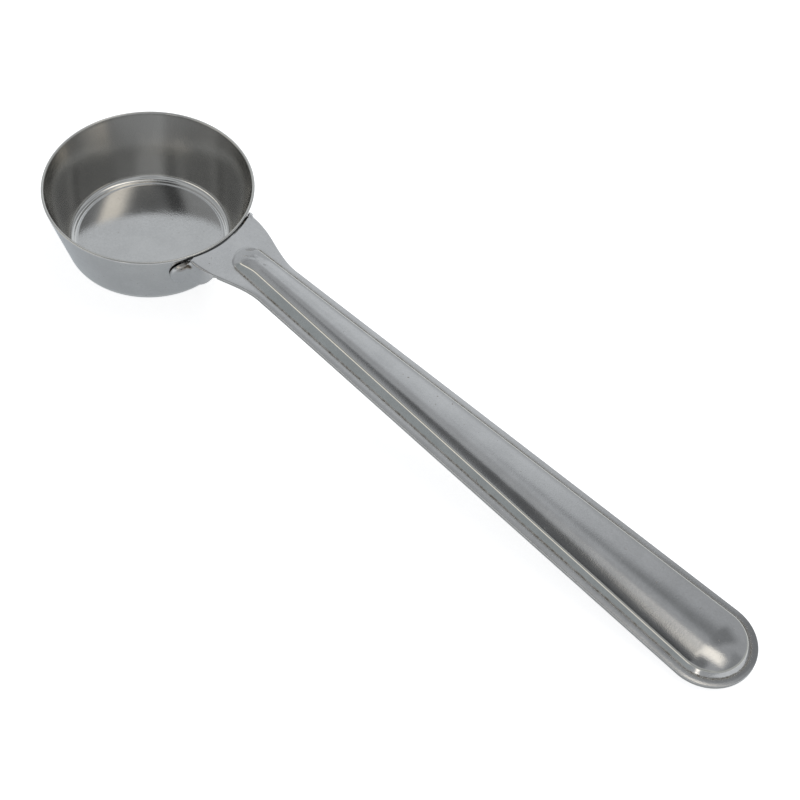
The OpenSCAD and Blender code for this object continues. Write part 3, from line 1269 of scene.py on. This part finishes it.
    def ear_column(self, row: Row) -> list[np.ndarray]:
        """Gives an ear's points: down its outer face, round its edge and up inside.

        Args:
            row: The row.

        Returns:
            The points, in order.
        """
        end = self.ear_end(row.ear)
        base = self.fold_len * row.ear
        bend = self.bend_of(row)
        inner_bend = max(bend, self.sheet + self.top_edge_r)
        length = math.hypot(end[0] - base, end[1] - bend)
        tip = 1 - self.ear_edge_r / max(length, 3 * self.ear_edge_r)
        face = list(tip * np.linspace(0, 1, self.steps.face + 1)[1:])
        turn = np.radians(90 * np.arange(1, self.steps.turn + 1) / self.steps.turn)
        shares = [*face, *(tip + (1 - tip) * np.sin(turn)), 1, *face[::-1]]
        depths = [0.0] * len(face) + list(self.ear_edge_r * (1 - np.cos(turn)))
        depths += [self.sheet - self.top_edge_r] + [self.sheet] * len(face)
        tops = [bend] * (len(face) + len(turn)) + [inner_bend] * (len(face) + 1)
        share, depth, top = np.array(shares), np.array(depths), np.array(tops)
        s = base + (end[0] - base) * share
        d = top + (end[1] - top) * share
        points = self.ear_face(s, d) - depth[:, None] * self.ear_out(s, d)
        return list(points)

    def edge_column(self, row: Row) -> list[np.ndarray]:
        """Gives a row's points round the sheet's edge, from the land on top to the land below.

        Args:
            row: The row.

        Returns:
            The points, in order.
        """
        bend = self.bend_of(row)
        inner_bend = max(bend, self.sheet + self.top_edge_r)
        roll = self.roll_of(row)
        steps = self.steps.bend
        top, under = [], []
        for i in range(1, steps + 1):
            a = math.pi / 2 * i / steps
            p = row.outline - bend * (1 - math.sin(a)) * row.outward
            top.append(self.placed(p[0], p[1], -bend * (1 - math.cos(a)) - roll))
        for i in range(steps):
            a = math.pi / 2 * (1 - i / steps)
            if not row.on_ear:
                p = row.outline - self.top_edge_r * (1 - math.sin(a)) * row.outward
                z = -self.sheet + self.top_edge_r * (1 - math.cos(a))
            else:
                inset = inner_bend - (inner_bend - self.sheet) * math.sin(a)
                p = row.outline - inset * row.outward
                z = -inner_bend + (inner_bend - self.sheet) * math.cos(a)
            under.append(self.placed(p[0], p[1], z - roll))
        if row.on_ear:
            return top + self.ear_column(row) + under
        count = self.steps.cut_count
        cut = [self.placed(row.outline[0], row.outline[1],
                           -self.top_edge_r - (self.sheet - 2 * self.top_edge_r)
                           * i / (count + 1) - roll) for i in range(1, count + 1)]
        return top + cut + under

    def column(self, row: Row) -> np.ndarray:
        """Gives a row's points from the spine on top, over the edge, to the spine below.

        Args:
            row: The row.

        Returns:
            The points, one row each.
        """
        toe = row.crease - self.toe_reach(row) * self.square_of(row)
        roll = self.roll_of(row)
        columns = []
        for depth in (0.0, self.sheet):
            rib = []
            for along, height in self.rib_section(row, depth):
                p = self.rib_path(row, along)
                rib.append(self.placed(p[0], p[1], height))
            inset = self.bend_of(row)
            if depth and row.on_ear:
                inset = max(inset, self.sheet + self.top_edge_r)
            edge = row.outline - inset * row.outward
            land = []
            for t in np.linspace(0, 1, self.steps.land + 1)[:-1]:
                p = edge + (toe - edge) * t
                land.append(self.placed(p[0], p[1], -depth - roll * (1 - t) ** 2))
            columns.append(land + rib)
        top, under = columns
        return np.array(top[::-1] + self.edge_column(row) + under)

    def columns(self) -> np.ndarray:
        """Gives the columns of points right round the handle, the left half mirrored.

        Returns:
            Every point, by column and by place in the column.
        """
        steps = self.steps
        front = [self.column(row) for row in self.front_rows()]
        ear = [self.column(row) for row in self.ear_rows()]
        neck = [self.column(row) for row in self.neck_rows()]
        rest = [self.column(row) for row in self.side_rows() + self.end_rows()]
        tip = between(front[-1], ear[0], steps.tip)
        heel = between(ear[-1], neck[0], steps.heel)
        half = np.array(front + tip + ear + heel + neck + rest)
        points = all_round(half)
        points[len(half):-1, :, 1] *= -1
        return points

    def chart(self, points: np.ndarray) -> np.ndarray:
        """Gives each point's way from the crease and its way along the crease, in metres.

        Args:
            points: The columns of points.

        Returns:
            Two values for each point, the first below zero on the rib.
        """
        down = np.linalg.norm(np.diff(points, axis=1), axis=2)
        down = np.concatenate([np.zeros((len(points), 1)), np.cumsum(down, axis=1)], axis=1)
        crease = self.steps.rib_count - 1 - self.steps.toe // 2
        along = np.linalg.norm(np.diff(points[:, crease], axis=0), axis=1)
        along = np.concatenate([[0], np.cumsum(along)])
        away = down - down[:, crease:crease + 1]
        return np.stack([away, along[:, None] + 0 * away], axis=2)

    def wear_and_light(self, points: np.ndarray) -> np.ndarray:
        """Gives the attribute of marks and painted light: painted shoulder highlight, sheared edge,
        grime with painted shade, and the marks of pressing.

        Args:
            points: The columns of points.

        Returns:
            Four values for each point.
        """
        steps, marks = self.steps, self.marks
        wear_and_light = np.zeros(points.shape[:2] + (len(WearAndLight),))
        front = np.zeros(steps.front + steps.tip)
        fold = np.linspace(0, 1, steps.ear + 1)
        rest = np.zeros(steps.plain_rows)

        def on_fold(values: np.ndarray, before: float = 0.0) -> np.ndarray:
            """Gives values for all columns, zero behind the ears."""
            return all_round(np.concatenate([front + before, values, rest]))

        nose = np.array([self.nose_share(row) for row in self.front_rows()])
        nose = np.concatenate([nose, np.full(steps.tip - 1, nose[-1]),
                               [self.nose_share(row) for row in self.ear_rows()]])
        pressed = all_round(np.concatenate([1 - smooth(marks.nose_fade * nose), rest + 1]))
        # Painted highlight along the top shoulder.
        shoulder = steps.dome + steps.shoulder // 2
        beside = marks.shoulder_highlight_points
        wear_and_light[:, shoulder - beside:shoulder + beside + 1, WearAndLight.SHOULDER.value] = pressed[:, None]
        wear_and_light[:, :, WearAndLight.PRESSED.value] = pressed[:, None]

        edge = steps.rib_count + steps.land
        face = edge + steps.bend
        turn = face + steps.face
        ears = on_fold(0 * fold + 1).astype(bool)
        cut = slice(face - 1, face + steps.cut_count + 1)
        wear_and_light[:, cut, WearAndLight.CUT.value] = 1
        wear_and_light[ears, cut, WearAndLight.CUT.value] = 0

        # Painted shade and grime on the fork's front edge and inside the ears, painted contact
        # shade under the ears' lower edges, grime on the folds.
        inner = smooth((fold - marks.inner_grime_and_shade_start) / marks.inner_grime_and_shade_run)
        inner = on_fold(1 - marks.inner_grime_and_shade_loss * inner, before=1.0)
        below = smooth((fold - marks.edge_shade_start) / marks.edge_shade_run)
        below = on_fold(marks.edge_shade * below)
        above = on_fold(marks.fold_grime * (1 - marks.fold_grime_loss * fold))
        wear_and_light[:, face + 1:cut.stop, WearAndLight.GRIME_AND_SHADE.value] = inner[:, None]
        wear_and_light[ears, face:turn + 1, WearAndLight.GRIME_AND_SHADE.value] = 0
        wear_and_light[ears, turn + 1:turn + steps.turn, WearAndLight.GRIME_AND_SHADE.value] = below[ears, None]
        wear_and_light[ears, edge + steps.bend // 2:face - 1, WearAndLight.GRIME_AND_SHADE.value] = above[ears, None]
        return wear_and_light

    def build(self) -> bpy.types.Object:
        """Presses the handle from a fine grid, which is the flat blank.

        Returns:
            The handle.
        """
        points = self.columns()
        across, down = points.shape[0], points.shape[1]
        deselect_all()
        bpy.ops.mesh.primitive_grid_add(
            x_subdivisions=down - 1, y_subdivisions=across - 1, size=self.reach)
        handle = bpy.context.active_object
        handle.name = "handle_body"
        mesh = handle.data
        mesh.vertices.foreach_set("co", points.astype(np.float32).ravel())
        mesh.update()
        wear_and_light = mesh.color_attributes.new(WEAR_AND_LIGHT_MAP, "FLOAT_COLOR", "POINT")
        wear_and_light.data.foreach_set("color", self.wear_and_light(points).astype(np.float32).ravel())
        corners = np.empty(len(mesh.loops), np.int32)
        mesh.loops.foreach_get("vertex_index", corners)
        chart = self.chart(points).reshape(-1, 2)[corners]
        mesh.uv_layers.active.name = SECTION_MAP
        mesh.uv_layers.active.data.foreach_set("uv", chart.astype(np.float32).ravel())
        finish_normals(handle)
        return handle

    def dress(self, handle: bpy.types.Object, finish: SatinSteel) -> None:
        """Puts the finish on the handle and takes the solid handle's place.

        Args:
            handle: The handle.
            finish: Its steel.
        """
        handle.data.materials.clear()
        handle.data.materials.append(finish.material())
        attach(handle, "root")
        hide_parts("handle")


@dataclass(frozen=True)
class Panel:
    """A soft-edged patch of the surroundings: a wall, a window, a lamp's front or a dark gap.

    The angles are in degrees. Azimuth runs from +X towards +Y, and the half width and half height
    reach to the middle of the soft edge.
    """

    name: str
    azimuth: float
    elevation: float
    roll: float
    half_width: float
    half_height: float
    soft_width: float
    soft_height: float
    strength: float
    tint: Triple = COOL

    @property
    def light(self) -> Triple:
        """Colour of the light that comes from the panel."""
        return tuple(self.strength * c for c in self.tint)

    def axes(self) -> tuple[Vector, Vector, Vector]:
        """Works out how the panel hangs.

        Returns:
            Its sideways, upward and middle directions.
        """
        turn, rise, roll = (math.radians(a) for a in (self.azimuth, self.elevation, self.roll))
        middle = Vector((math.cos(rise) * math.cos(turn), math.cos(rise) * math.sin(turn),
                         math.sin(rise)))
        side = Vector((-math.sin(turn), math.cos(turn), 0))
        up = middle.cross(side)
        return (math.cos(roll) * side + math.sin(roll) * up,
                math.cos(roll) * up - math.sin(roll) * side, middle)

    def share(self, board: Board, direction: Socket) -> Socket:
        """Adds the nodes that give the panel's share in a direction.

        Args:
            board: Board of the world.
            direction: Direction that the light comes from.

        Returns:
            1 inside the panel and 0 outside it.
        """
        side, up, middle = self.axes()
        depth = board.vector("DOT_PRODUCT", direction, middle)
        shares = []
        for axis, half, soft in ((side, self.half_width, self.soft_width),
                                 (up, self.half_height, self.soft_height)):
            across = board.vector("DOT_PRODUCT", direction, axis)
            angle = board.math("ARCTAN2", board.math("ABSOLUTE", across), depth)
            near, far = math.radians(half - soft), math.radians(half + soft)
            shares.append(board.spread(angle, near, far, 1.0, 0.0))
        return board.math("MULTIPLY", *shares)


@dataclass
class Studio:
    """The camera at the photograph's view, a plain pale floor and soft light."""

    camera_place: Vector = field(default_factory=lambda: Vector((0.25722, -0.23132, 0.36748)))
    camera_aim: Vector = field(default_factory=lambda: Vector((0.07263, -0.00230, 0.01)))
    camera_roll: float = 4.223
    lens: float = 106.556
    sensor_w: float = 36
    lamp_place: Vector = field(default_factory=lambda: Vector((0.07, 0.75, 1.0)))
    lamp_size: float = 0.9
    lamp_power: float = 9
    floor_size: float = 4.0
    floor_colour: Triple = (0.55, 0.55, 0.555)
    floor_white: Triple = (0.8, 0.8, 0.8)
    floor_sheen: Triple = (0.26, 0.285, 0.31)
    room_light: Triple = (0.42, 0.44, 0.465)
    # Azimuth, elevation and roll, half width and height, soft width and height, strength, tint.
    panels: tuple[Panel, ...] = (
        Panel("far_wall", 129, 39, -17, 21, 26, 5, 6, 0.66),
        Panel("low_far_wall", 152, 11, 0, 46, 16, 4, 5, 0.54),
        Panel("far_window", 112, 34, -17, 6, 12, 3, 6, 0.72),
        Panel("far_shelf", 144, 39, 0, 17, 4, 4, 2, 0.53),
        Panel("dark_post", 85, 52, -13, 9.5, 15, 4, 7, 0.25),
        Panel("right_wall", 20, 47, 0, 24, 7, 4, 4, 0.31),
        Panel("near_wall", -108, 49, 0, 31, 9, 5, 4, 0.3),
        Panel("camera_stand", -45, 42, 0, 9, 6, 3, 3, 0.2),
        Panel("left_wall", -175, 50, 0, 15, 6, 4, 4, 0.36),
        Panel("near_skirting", -118, 3, 0, 35, 8, 5, 4, 0.39, (0.9, 1.0, 1.04)),
        Panel("low_lamp", -118, 26, 0, 26, 9, 4, 4, 1.0, WARM),
        Panel("end_lamp", -68, 9, 0, 4, 4, 3, 3, 2.2, WARM),
        Panel("dark_ceiling", -40, 81, -50, 10, 7.5, 3, 3, 0.2),
        Panel("dark_corner", -112, 77, 22, 5, 5, 2.5, 2.5, 0.06),
        Panel("dark_slot", -163, 80.5, 0, 6, 5.5, 2.5, 3, 0.12),
        Panel("window", 44, 73, 62, 14, 6.5, 6, 3, 1.3, WARM),
        Panel("window_corner", 109, 88.4, -19, 3, 4, 3, 3, 1.0, WARM),
    )

    def camera(self) -> None:
        """Places the camera."""
        data = bpy.data.cameras.new("photo_camera")
        data.lens = self.lens
        data.sensor_width = self.sensor_w
        camera = bpy.data.objects.new("photo_camera", data)
        bpy.context.scene.collection.objects.link(camera)
        look = (self.camera_aim - self.camera_place).to_track_quat("-Z", "Y")
        turn = Matrix.Rotation(math.radians(self.camera_roll), 4, "Z")
        camera.matrix_world = (Matrix.Translation(self.camera_place)
                               @ look.to_matrix().to_4x4() @ turn)
        bpy.context.scene.camera = camera

    def floor(self) -> None:
        """Lays the floor, a shade whiter to the camera and in reflections, with its shadow kept."""
        deselect_all()
        bpy.ops.mesh.primitive_plane_add(size=self.floor_size)
        floor = bpy.context.active_object
        floor.name = "floor"
        material = bpy.data.materials.new("pale_floor")
        material.use_nodes = True
        board = Board(material.node_tree)
        path = board.add("ShaderNodeLightPath")
        mirrored = board.math("MAXIMUM", path.outputs["Is Glossy Ray"],
                              path.outputs["Is Transmission Ray"])
        glow = board.blend(path.outputs["Is Camera Ray"], BLACK, self.floor_white)
        glow = board.blend(mirrored, glow, self.floor_sheen)
        matt = board.make("ShaderNodeBsdfDiffuse", {"Color": (*self.floor_colour, 1)})
        white = board.make("ShaderNodeEmission", {"Color": glow})
        both = board.add("ShaderNodeAddShader")
        board.join(matt, both.inputs[0])
        board.join(white, both.inputs[1])
        output = board.add("ShaderNodeOutputMaterial")
        board.join(both.outputs[0], output.inputs["Surface"])
        floor.data.materials.append(material)

    def fill_lamp(self) -> None:
        """Hangs a broad lamp over the floor, which the steel doesn't show."""
        data = bpy.data.lights.new("soft_fill", "AREA")
        data.shape = "DISK"
        data.size = self.lamp_size
        data.energy = self.lamp_power
        lamp = bpy.data.objects.new("soft_fill", data)
        aim = (-self.lamp_place).to_track_quat("-Z", "Y").to_matrix().to_4x4()
        lamp.matrix_world = Matrix.Translation(self.lamp_place) @ aim
        lamp.visible_glossy = False
        bpy.context.scene.collection.objects.link(lamp)

    def world(self) -> None:
        """Sets the room round the scoop: one plain tone and soft panels on it."""
        world = bpy.data.worlds.new("soft_light")
        bpy.context.scene.world = world
        world.use_nodes = True
        board = Board(world.node_tree)
        direction = board.add("ShaderNodeTexCoord").outputs["Generated"]
        light = self.room_light
        for panel in self.panels:
            light = board.blend(panel.share(board, direction), light, panel.light)
            log.debug("panel: %s", panel.name)
        path = board.add("ShaderNodeLightPath")
        light = board.blend(path.outputs["Is Camera Ray"], light, WHITE)
        sky = board.make("ShaderNodeBackground", {"Color": light})
        output = board.add("ShaderNodeOutputWorld")
        board.join(sky, output.inputs["Surface"])

    def build(self) -> None:
        """Sets up the whole studio."""
        self.camera()
        self.floor()
        self.fill_lamp()
        self.world()
        bpy.context.scene.view_settings.view_transform = "Standard"


def main() -> None:
    """Builds the scoop piece by piece and the studio round it."""
    logging.basicConfig(level=logging.INFO, format="%(name)s: %(message)s")
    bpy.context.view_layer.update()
    Studio().build()
    cup = Cup(rim_r=Cup.rim_r - SKIN, height=Cup.height - SKIN)
    cup_body = cup.build()
    cup.dress(cup_body, CupSteel("cup_satin", colour=(0.635, 0.625, 0.605), roughness=0.1,
                                 wall_middle_r=float(cup.wall_r(0)) - cup.wall / 2,
                                 wall_slope=cup.wall_slope))
    log.info("cup: %d faces", len(cup_body.data.polygons))
    handle = Handle(cup=cup, reach=Handle.reach - SKIN)
    handle_body = handle.build()
    burns = (
        BurnMark("black_spot", (21.0 * MM, -9.0 * MM, 14.3 * MM),
                 radius=0.52 * MM, halo=1.0 * MM),
        BurnMark("brown_spot", (20.5 * MM, -9.4 * MM, 13.9 * MM),
                 radius=0.4 * MM, halo=1.3 * MM, strength=0.8),
        BurnMark("faint_specks", (19.8 * MM, -10.0 * MM, 13.5 * MM),
                 radius=0.3 * MM, halo=1.6 * MM, strength=0.7))
    handle.dress(handle_body, HandleSteel("handle_satin", colour=(0.635, 0.625, 0.61),
                                          roughness=0.11, burns=burns))
    log.info("handle: %d faces", len(handle_body.data.polygons))
    weld = SatinSteel("weld_metal", colour=tone(140, 125, 108), roughness=0.4,
                      grain_depth=0.03 * MM).material()
    for name in ("weld_left", "weld_right"):
        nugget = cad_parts[name]
        for slot in nugget.material_slots:
            slot.material = weld
        log.info("%s: dressed", name)


if __name__ == "__main__":
    main()
